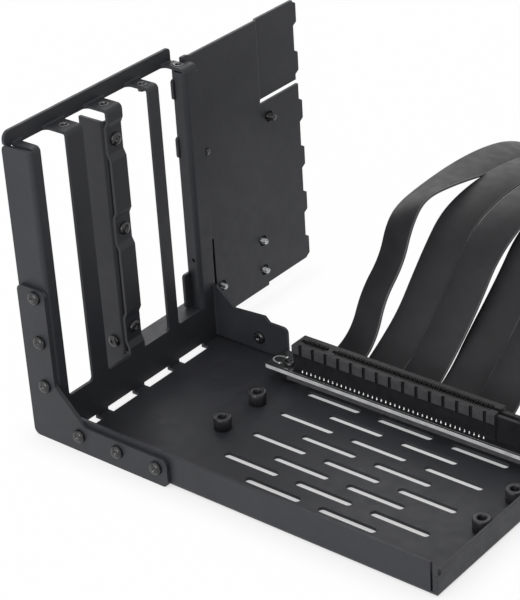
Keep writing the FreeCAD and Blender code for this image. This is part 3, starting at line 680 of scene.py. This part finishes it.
# %% Set the screws
black, bare = (black_plate, "black_screw"), (bright_zinc, "bare_screw")
screw_nodes = {
    "corner_bracket_screws": ((0, -1, 0), 1.8, 1.5, black),
    "rear_ear_screw": ((0, -1, 0), 1.4, 1.5, black),
    "divider_screws": ((1, 0, 0), 1.4, 1.5, black),
    "ledge_screw": ((0, -1, 0), 1.4, 1.5, black),
    "plate_screws": ((-1, 0, 0), 1.4, 1.25, bare),
    "plate_stop_screws": ((-1, 0, 0), 1.4, 1.5, black),
    "riser_screws": ((0, 0, 1), 1.4, 1.5, black),
}
first_turn, more_turn = 0.4, 1.1

for name, (direction, head_mm, shank_mm, (material, slot)) in screw_nodes.items():
    outward = Vector(direction)
    along = max(range(3), key=lambda axis: abs(outward[axis]))
    head = head_mm * MM
    made = {}
    copies = []
    for number, (low, high) in enumerate(solids_of(name)):
        size = high - low
        length = round(size[along] - head, 5)
        if length not in made:
            made[length] = screw_data(size[(along + 1) % 3] / 2, head, shank_mm * MM, length)
        seat = (low + high) / 2
        seat[along] = (high[along] if outward[along] > 0 else low[along]) - outward[along] * head
        stand = outward.to_track_quat("Z", "Y").to_matrix().to_4x4()
        driven = Matrix.Rotation(first_turn + more_turn * number, 4, "Z")
        copies.append((made[length], Matrix.Translation(seat) @ stand @ driven))
    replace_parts(join_copies(name + "_driven", copies, slot, material), name)
    print(name, len(copies), "screws, lengths", [round(length / MM, 1) for length in made], "mm")

# %% [markdown]
# Standoffs are small threaded posts, pressed into the tray. Each is one closed wall: up the outside, over
# a small slope on the rim, down a wide sloping mouth, and down the bore, which has the same thread as the
# screws. The spare ones show it, because nothing is screwed into them.

# %% Standoffs
def threaded_sleeve(name, outside, bore, mouth):
    """A closed tube with an outside of (radius, height) points, and a mouth over a threaded bore."""
    mesh = bmesh.new()
    rings = [thread_ring(mesh, radius, height) for radius, height in outside]
    bottom, top = outside[0][1], outside[-1][1]
    rings.append(thread_ring(mesh, mouth, top))
    for height in reversed(thread_heights(bottom, top - (mouth - bore))):
        rings.append(thread_ring(mesh, bore, height, bore_depth))
    join_rings(mesh, rings + rings[:1])
    return mesh_data(name, mesh)


black_zinc = make_finish("black_zinc", (1.5, (0.026, 0.026, 0.029), (0.046, 0.046, 0.050)),
                         (0.8, 0.28, 0.44), (0.3, 0.01, 0.3), metal=0.3)
posts = solids_of("tray_standoffs")
post_size = posts[0][1] - posts[0][0]
post_radius, post_rim = post_size.x / 2, 0.25 * MM
post_bore, post_mouth = 1.6 * MM, 2.0 * MM
post_outside = (
    (post_radius, 0), (post_radius, post_size.z - post_rim), (post_radius - post_rim, post_size.z),
)
post = threaded_sleeve("standoff", post_outside, post_bore, post_mouth)
standoffs = join_copies("tray_standoffs_turned", on_bottoms(post, posts), "black_screw", black_zinc)
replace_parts(standoffs, "tray_standoffs")
print(len(posts), "standoffs,", round(post_size.z / MM, 1), "mm high")

# %% [markdown]
# The screw holes of the shelf hold threaded inserts, which are made like the standoffs but with a thin
# flange that lies on the sheet. They are plain steel, and so each hole shows a pale ring. The record of the
# part says where the holes are: as pairs, by the middle of a pair and the distance between its two holes.

# %% Threaded inserts in the shelf
insert_radius, insert_bottom = 1.46 * MM, -2.6 * MM
insert_bore, insert_mouth = 1.15 * MM, 1.35 * MM
flange_radius, flange_slope = 2.1 * MM, 0.04 * MM
flange_low, flange_side, flange_top = 0.01 * MM, 0.08 * MM, 0.12 * MM
insert_outside = (
    (insert_radius, insert_bottom), (insert_radius, flange_low), (flange_radius, flange_low),
    (flange_radius, flange_side), (flange_radius - flange_slope, flange_top),
)
insert = threaded_sleeve("insert", insert_outside, insert_bore, insert_mouth)
insert_places = []
for mount in frame["record"]["mounts"]:
    if mount["name"].startswith("slot_screws"):
        middle, half = Vector(mount["pos_m"]), mount["dims"]["spacing_y_mm"] / 2 * MM
        insert_places += [middle + Vector((0, side * half, 0)) for side in (-1, 1)]
insert_copies = [(insert, Matrix.Translation(place)) for place in insert_places]
join_copies("shelf_inserts", insert_copies, "bare_screw", dull_steel)
print(len(insert_places), "inserts, flanges", round(2 * flange_radius / MM, 1), "mm wide")


# %% [markdown]
# The riser board is a printed circuit board: glass fibre with a skin of black lacquer on both faces. The
# lacquer does not cover the cut edge, so the edge shows the pale fibre, and that pale line is the
# brightest thing on the whole mount. One material can do both: on faces that point sideways, fibre is
# mixed into its colour.

# %% Board lacquer with pale cut edges
sideways_below = 0.6
fibre_grain = 7


def calculated(tree, operation, *values):
    """One step of arithmetic between values, which are sockets or plain numbers."""
    step = new_node(tree, "Math", dict(enumerate(values)))
    step.operation = operation
    return step.outputs["Value"]


def show_cut_edges(tree, dark, light):
    """Mixes pale fibre into a finish's colour, on the faces that point sideways."""
    facing = new_node(tree, "NewGeometry", {}).outputs["True Normal"]
    parts = new_node(tree, "SeparateXYZ", {"Vector": facing})
    flatness = calculated(tree, "ABSOLUTE", parts.outputs["Z"])
    blend = new_node(tree, "Mix", {"Factor": calculated(tree, "LESS_THAN", flatness, sideways_below)})
    blend.data_type = "RGBA"
    lacquer, fibre = [socket for socket in blend.inputs if socket.type == "RGBA"]
    base = tree.nodes["Principled BSDF"].inputs["Base Color"]
    tree.links.new(base.links[0].from_socket, lacquer)
    tree.links.new(shades(tree, grain(tree, fibre_grain), dark, light), fibre)
    tree.links.new([socket for socket in blend.outputs if socket.type == "RGBA"][0], base)


board_lacquer = make_finish("board_lacquer", (2, (0.010, 0.011, 0.012), (0.017, 0.018, 0.020)),
                            (1.0, 0.32, 0.46), (0.35, 0.015, 0.3))
show_cut_edges(board_lacquer.node_tree, (0.48, 0.48, 0.49), (0.84, 0.84, 0.85))
for name in ("riser_board", "plug_board"):
    soften(dress(name, board_lacquer), 0.12)


# %% [markdown]
# What is printed and plated on a board is only hundredths of a millimetre high. An image could show it, but
# a flat shape with its own finish is sharp from any distance. Two helpers make such shapes: a box, and a
# band, whose small oblong section is carried round part of an oval. Tin is bright metal with a fine grain,
# and the print is a matt white.

# %% Shapes and finishes on the board
skin_low, skin_high = board_high.z - 0.01 * MM, board_high.z + 0.04 * MM
plated_tin = make_finish("plated_tin", (0.8, (0.42, 0.42, 0.42), (0.66, 0.66, 0.65)),
                         (0.4, 0.24, 0.42), (0.5, 0.02, 0.35), metal=0.95)
white_print = make_finish("white_print", (0.3, (0.30, 0.30, 0.30), (0.50, 0.50, 0.49)),
                          (0.6, 0.6, 0.8), (0.2, 0.01, 0.3))


def bent_band(mesh, middle, reach, line, start, end, steps=28):
    """A flat band of a given line width round part of an oval, from one angle to another."""
    section = ((0, skin_low), (0, skin_high), (line, skin_high), (line, skin_low))
    rings = []
    for step in range(steps + 1):
        angle = start + (end - start) * step / steps
        rings.append([mesh.verts.new((middle[0] + (reach[0] - inset) * math.cos(angle),
                                      middle[1] + (reach[1] - inset) * math.sin(angle), height))
                      for inset, height in section])
    closed_skin(mesh, rings)


def box_into(mesh, low, high):
    """Adds a plain box to a mesh that is being built."""
    corners = bmesh.ops.create_cube(mesh, size=1)["verts"]
    bmesh.ops.scale(mesh, vec=Vector(high) - Vector(low), verts=corners)
    bmesh.ops.translate(mesh, vec=(Vector(low) + Vector(high)) / 2, verts=corners)


# %% [markdown]
# At each end of the board a thin printed band bends round the screw's place, open on the side of the slot,
# with two solder dots beside it. A fine pale line is printed along the front edge, turns back at the
# slot's head, and has a short mark beside it.

# %% Bands, solder dots and print
band_reach, band_line, band_inset, band_open = (3.3 * MM, 2.6 * MM), 0.6 * MM, 0.2 * MM, 0.9
dot_radius, dot_height, dot_inset, dot_rows = 0.5 * MM, 0.35 * MM, 4.6 * MM, (2.6 * MM, -2.3 * MM)
dot_outline = ((0, 1), (0.4, 0.9), (0.75, 0.6), (1, 0.1), (1, 0), (0, 0))
screw_row = (board_low.y + board_high.y) / 2 - 0.7 * MM

dot = turned_body("solder_dot", dot_outline, dot_radius, dot_height, steps=14)
dot_copies = []
printed = bmesh.new()
for end_x, inward in ((board_low.x, 1), (board_high.x, -1)):
    middle = (end_x + inward * (band_reach[0] + band_inset), screw_row)
    facing = 0 if inward > 0 else math.pi
    bent_band(printed, middle, band_reach, band_line, facing + band_open, facing + 2 * math.pi - band_open)
    for row in dot_rows:
        place = (end_x + inward * dot_inset, screw_row + row, skin_low)
        dot_copies.append((dot, Matrix.Translation(place)))
join_copies("solder_dots", dot_copies, "solder", plated_tin, smooth=False)

slot_low, slot_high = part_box("slot_housing")
print_y, print_line = board_low.y + 0.75 * MM, 0.16 * MM
print_lines = (
    (slot_low.x, print_y, slot_high.x, print_y + print_line),
    (slot_low.x, print_y + print_line, slot_low.x + print_line, print_y + 1.6 * MM),
    (slot_low.x - 3.2 * MM, print_y + 0.5 * MM, slot_low.x - 1.2 * MM, print_y + 0.8 * MM),
)
for left, front, right, back in print_lines:
    box_into(printed, (left, front, skin_low), (right, back, skin_high))
new_piece("board_print", mesh_data("board_print", printed, smooth=False), "solder", white_print)
print("board dressed with two bands,", len(dot_copies), "dots and", len(print_lines), "printed lines")


# %% [markdown]
# The card slot is moulded from black nylon with glass in it. It has three finishes of that one nylon: the
# pads' front faces get a paler one as painted light, and the base below them a darker one that mirrors
# less, as painted shade. The slot and the plate get fine cuts, but a CAD mesh is never changed. So a
# helper cuts a copy and keeps it in the piece's place.

# %% Slot finishes and cut copies
def make_slot_nylon(name, gloss, dark, light):
    return make_finish(name, (3, dark, light), (0.7, 0.42, 0.60), (0.25, 0.02, 0.4), gloss=gloss, edge=0.12)


slot_nylon = make_slot_nylon("slot_nylon", 0.2, (0.026, 0.026, 0.028), (0.040, 0.040, 0.043))
# Darker copy of the nylon: painted shade for the slot's base.
slot_base_painted_shade = make_slot_nylon("slot_base_painted_shade", 0.12, (0.013, 0.013, 0.015), (0.020, 0.020, 0.023))
# Paler copy of the nylon: painted light for the front faces of the pads.
slot_pad_painted_light = make_slot_nylon("slot_pad_painted_light", 0.3, (0.050, 0.050, 0.053), (0.072, 0.072, 0.076))


def cut_copy(name, new_name, cutter, slot, *finishes):
    """Puts a copy of a CAD piece in its place, with a shape cut out of it."""
    mesh = bmesh.new()
    mesh.from_mesh(cad[name].data)
    bmesh.ops.remove_doubles(mesh, verts=mesh.verts, dist=same_place)
    bmesh.ops.dissolve_limit(mesh, angle_limit=flat_angle, verts=mesh.verts, edges=mesh.edges)
    whole = mesh_data(name + "_copy", mesh, smooth=False)
    data = cut_away(whole, mesh_data("cutter", cutter, smooth=False))
    data.materials.clear()
    copy = new_piece(new_name, data, slot, *finishes)
    smooth_folds(copy)
    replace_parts(copy, name)
    return copy


# %% [markdown]
# Along the gap for the card, every contact stands in its own narrow pocket, and those rows of pockets give
# the slot's top its fine comb look. The CAD slot has the plain gap, so the pockets are cut here with
# one boolean, at the places of the CAD contacts and halfway between them. Then each face of the slot is
# given one of the three finishes, by where it is and which way it points: painted light on the pads' front
# faces, painted shade on the base.

# %% Cut the contact pockets
pocket_width, pocket_reach, pocket_depth, pocket_over = 0.55 * MM, 1.0 * MM, 1.8 * MM, 1.0 * MM
pocket_bottom, pocket_top = slot_high.z - pocket_depth, slot_high.z + pocket_over
gap_middle = (slot_low.y + slot_high.y) / 2
contact_boxes = solids_of("slot_contacts")
contact_columns = sorted({round(low.x, 5) for low, high in contact_boxes})
contact_step = contact_columns[1] - contact_columns[0]
pockets = bmesh.new()
for low, high in contact_boxes:
    x, front, back = (low.x + high.x) / 2, low.y, high.y
    if back < gap_middle:
        front -= pocket_reach
    else:
        back += pocket_reach
    for column in (x, x + contact_step / 2):
        box_into(pockets, (column - pocket_width / 2, front, pocket_bottom),
                 (column + pocket_width / 2, back, pocket_top))
slot_body = cut_copy("slot_housing", "slot_body", pockets, "housing",
                     slot_nylon, slot_base_painted_shade, slot_pad_painted_light)

pad_front, base_front = slot_low.y + 0.1 * MM, gap_middle - 2.5 * MM
base_top = slot_high.z - 4.1 * MM
front_below = -0.5
# Front faces of the pads get the painted light, the base's faces the painted shade.
for face in slot_body.data.polygons:
    faces_front = face.normal.y < front_below
    if faces_front and face.center.y < pad_front:
        face.material_index = 2
    elif face.center.z < base_top or (faces_front and face.center.y < base_front):
        face.material_index = 1
print("slot cut,", len(slot_body.data.polygons), "faces")

# %% [markdown]
# The plate behind the last bar has a narrow groove, low down beside that bar, and round four of its screw
# ends a shallow recess. They are cut from the plate's front face only, so they look dark and no light comes
# through. Each cutter is a flat outline that is drawn out along x.

# %% Groove and recesses in the plate
plate_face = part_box("chassis_plate")[1].x
cut_depth = 0.85 * MM
cut_ends = (plate_face - cut_depth, plate_face + cut_depth)


def arc_points(y, z, radius, turn, steps):
    """Points round a middle, from the right through a turn."""
    angles = [turn * step / steps for step in range(steps + 1)]
    return [(y + radius * math.cos(angle), z + radius * math.sin(angle)) for angle in angles]


groove_half, groove_y, groove_low, groove_high = 0.6 * MM, 50.1 * MM, 9.0 * MM, 38.6 * MM
recess_radius = 2.3 * MM
cuts = [[(groove_y - groove_half, groove_low), (groove_y + groove_half, groove_low)]
        + arc_points(groove_y, groove_high, groove_half, math.pi, 8)]
tip_boxes = solids_of("plate_screws") + solids_of("plate_stop_screws")[1:]
for low, high in tip_boxes:
    rim = arc_points((low.y + high.y) / 2, (low.z + high.z) / 2, recess_radius, 2 * math.pi, 28)
    cuts.append(rim[:-1])
plate_cutter = bmesh.new()
for outline in cuts:
    drawn_out(plate_cutter, *[[(x, y, z) for y, z in outline] for x in cut_ends])
cut_copy("chassis_plate", "plate_body", plate_cutter, "black_sheet", powder_coat)
print("groove", round((groove_high - groove_low) / MM, 1), "mm long, and", len(tip_boxes), "recesses")

# %% [markdown]
# The riser's contacts are springy bronze, dull, and their colour is painted dark as shade deep in their
# pockets. The latch at the slot's tail and the plug's cover are the same nylon as the slot. The pad under
# the board is grey insulating plastic, matt and slightly mottled. Their CAD shapes are right, so each only
# gets its finish and soft edges, whose width in millimetres fits its size.

# %% Contacts, latch, insulator and plug
# The bronze colour is painted dark: painted shade of the slot's deep pockets.
contact_bronze_painted_shade = make_finish("contact_bronze_painted_shade", (1.0, (0.045, 0.040, 0.032), (0.085, 0.074, 0.056)),
                             (0.5, 0.36, 0.50), metal=0.8)
insulator_grey = make_finish("insulator_grey", (2.5, (0.055, 0.055, 0.060), (0.090, 0.090, 0.096)),
                             (1.0, 0.55, 0.72), (0.4, 0.03, 0.4))
small_pieces = {
    "slot_contacts": (contact_bronze_painted_shade, 0.04), "plug_contacts": (contact_bronze_painted_shade, 0.01),
    "slot_latch": (slot_nylon, 0.12), "riser_insulator": (insulator_grey, 0.15),
    "plug_cover": (slot_nylon, 0.4),
}
for name, (material, edge) in small_pieces.items():
    soften(dress(name, material), edge)
print("dressed", ", ".join(small_pieces))

# %% [markdown]
# Two plain shapes are added to them. The front edge of the insulating pad is turned down and shows as
# a thin grey line below the board. The plug's cover has a row of ribs for the fingers, which spread over
# the middle of its length. Both are boxes with soft edges, set by the boxes of the pieces that carry them.

# %% Insulator edge and plug grips
pad_low, pad_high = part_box("riser_insulator")
edge_longer, edge_thick, edge_drop, clearance = 2.5 * MM, 0.55 * MM, 0.2 * MM, 0.01 * MM
edge_mesh = bmesh.new()
box_into(edge_mesh, (pad_low.x - edge_longer, pad_low.y - edge_thick, pad_low.z - edge_drop),
         (pad_high.x, pad_low.y - clearance, pad_high.z - clearance))
flat_piece("insulator_edge", edge_mesh, "insulator", insulator_grey, 0.12)

cover_low, cover_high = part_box("plug_cover")
grip_count, free_at_end = 9, 3
grip_width, grip_height, grip_root, grip_margin = 1.2 * MM, 0.5 * MM, 0.2 * MM, 2.5 * MM
grip_steps = grip_count - 1 + 2 * free_at_end
grip_mesh = bmesh.new()
for number in range(grip_count):
    x = cover_low.x + (cover_high.x - cover_low.x) * (number + free_at_end) / grip_steps
    box_into(grip_mesh, (x - grip_width / 2, cover_low.y + grip_margin, cover_high.z - grip_root),
             (x + grip_width / 2, cover_high.y - grip_margin, cover_high.z + grip_height))
flat_piece("plug_grips", grip_mesh, "housing", slot_nylon, 0.2)
print("insulator edge", edge_thick / MM, "mm thick, and", grip_count, "ribs on the plug")

# %% [markdown]
# In front of the slot its legs come through the board, and each is soldered there: a little shining cone of
# tin takes the place of the CAD's plain tail. One cone is turned as the screw heads are, then copied.

# %% Solder cones
cone_outline = ((0, 1), (0.35, 0.94), (0.5, 0.5), (0.75, 0.2), (1, 0.04), (1, 0), (0, 0))
tails = solids_of("solder_tails")
cone_radius, cone_height = 0.45 * MM, tails[0][1].z - tails[0][0].z
cone = turned_body("solder_cone", cone_outline, cone_radius, cone_height, steps=14)
cones = join_copies("solder_cones", on_bottoms(cone, tails), "solder", plated_tin)
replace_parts(cones, "solder_tails")
print(len(tails), "solder cones,", round(cone_height / MM, 2), "mm high")


# %% [markdown]
# The mount stands on a plain white table. A floor that is only lit would come out grey, so the camera, and
# the mirrors in metal, see it mostly as white light of its own. Close beside the mount that own light
# fades, by how much of the sky a spot can see, and under the tray, where hardly any light gets in, it
# fades more. So the floor keeps a soft shadow, and the tray's vents look grey.

# %% How white the table is
sky_reach, under_fade = 12 * MM, 10 * MM
beside_white, open_white, under_white = 0.62, 0.985, 0.42


def seen_directly(tree):
    """One for rays that show a surface: from the camera, by reflection or through glass."""
    path = new_node(tree, "LightPath", {}).outputs
    seen = calculated(tree, "MAXIMUM", path["Is Camera Ray"], path["Is Glossy Ray"])
    return calculated(tree, "MAXIMUM", seen, path["Is Transmission Ray"])


def open_share(tree):
    """How white the table is at a spot: fully in the open, less beside the mount, least under the tray."""
    sky = new_node(tree, "AmbientOcclusion", {"Distance": sky_reach})
    beside = faded(tree, sky.outputs["AO"], 0, 1, beside_white, open_white)
    spot = new_node(tree, "TexCoord", {}).outputs["Object"]
    parts = new_node(tree, "SeparateXYZ", {"Vector": spot})
    low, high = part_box("base_tray")
    inside = [
        faded(tree, parts.outputs[axis], edge, edge + into * under_fade, 0, 1)
        for axis, edge, into in (("X", low.x, 1), ("X", high.x, -1), ("Y", low.y, 1), ("Y", high.y, -1))
    ]
    depth = inside[0]
    for side in inside[1:]:
        depth = calculated(tree, "MINIMUM", depth, side)
    under = faded(tree, depth, 0, 1, 1.0, under_white)
    return calculated(tree, "MULTIPLY", beside, under)


# %% [markdown]
# The table's material puts that together. What the camera sees is a blend of lit white and own light. For
# light that bounces up from it to the mount it is an ordinary white table, because a floor that shone
# by itself would light the mount from below.

# %% White table
def mixed_shader(tree, share, first, second):
    """A blend of two shaders: the first where the share is nothing, the second where it is one."""
    return new_node(tree, "MixShader", {0: share, 1: first, 2: second}).outputs["Shader"]


white_table = bpy.data.materials.new("white_table")
white_table.use_nodes = True
table_tree = white_table.node_tree
table_tree.nodes.remove(table_tree.nodes["Principled BSDF"])
lit = new_node(table_tree, "BsdfDiffuse", {"Color": (0.86, 0.86, 0.86, 1)}).outputs["BSDF"]
own = new_node(table_tree, "Emission", {}).outputs["Emission"]
shown = mixed_shader(table_tree, open_share(table_tree), lit, own)
table_shader = mixed_shader(table_tree, seen_directly(table_tree), lit, shown)
table_tree.links.new(table_shader, table_tree.nodes["Material Output"].inputs["Surface"])

table_half, table_gap = 4.0, 0.02 * MM
table_corners = [(x * table_half, y * table_half, 0) for x, y in ((-1, -1), (1, -1), (1, 1), (-1, 1))]
table_top = bpy.data.meshes.new("table_top")
table_top.from_pydata(table_corners, [], [(0, 1, 2, 3)])
table_top.materials.append(white_table)
floor = put_in_scene("floor", table_top)
floor.location.z = cad_box[0].z - table_gap
print("white table", 2 * table_half, "m wide")

# %% [markdown]
# The world round the table is white to the camera and to every mirror, and a plain dim grey as a light.
# Black paint has hardly any colour of its own to show, so what it mirrors is most of what we see of it.

# %% Surroundings
room_light = 0.36
world = bpy.data.worlds.new("studio")
world.use_nodes = True
bpy.context.scene.world = world
sky_tree = world.node_tree
dim = sky_tree.nodes["Background"]
white = sky_tree.nodes.new("ShaderNodeBackground")
for background, strength in ((dim, room_light), (white, 1.0)):
    background.inputs["Color"].default_value = (1, 1, 1, 1)
    background.inputs["Strength"].default_value = strength
sky_shader = mixed_shader(sky_tree, seen_directly(sky_tree), dim.outputs["Background"],
                          white.outputs["Background"])
sky_tree.links.new(sky_shader, sky_tree.nodes["World Output"].inputs["Surface"])
bpy.context.scene.view_settings.view_transform = "Standard"
print("white surroundings, as a light only", room_light)

# %% [markdown]
# Product pictures of black things are lit with wide, soft panels, at a level where a mid grey looks mid
# grey. The main panel stands at the front left, so faces that look to the front are paler than those that
# look to the tray's free end. A small, brighter one beside it gives the screw heads their shining spots.
# One hangs over the mount for its tops, and a faint one fills the right side. The last stands behind at the
# left, where the upper faces mirror it. Each row gives a panel's place and size in metres and its watts.

# %% Light panels
panels = {
    "main_panel": ((-0.1, -1.45, 0.75), 1.6, 10.8),
    "small_panel": ((0.15, -1.44, 0.45), 0.35, 3.4),
    "top_panel": ((0.05, 0.15, 1.35), 1.0, 1.2),
    "right_panel": ((1.2, -0.1, 0.6), 0.8, 0.5),
    "back_panel": ((-0.75, 0.9, 0.65), 1.1, 3.5),
}
aim = Vector((0, 0.02, 0.05))
for name, (place, size, power) in panels.items():
    light = bpy.data.lights.new(name, "AREA")
    light.size = size
    light.energy = power
    panel = put_in_scene(name, light)
    panel.location = place
    panel.rotation_euler = (aim - Vector(place)).to_track_quat("-Z", "Y").to_euler()
print(len(panels), "light panels")
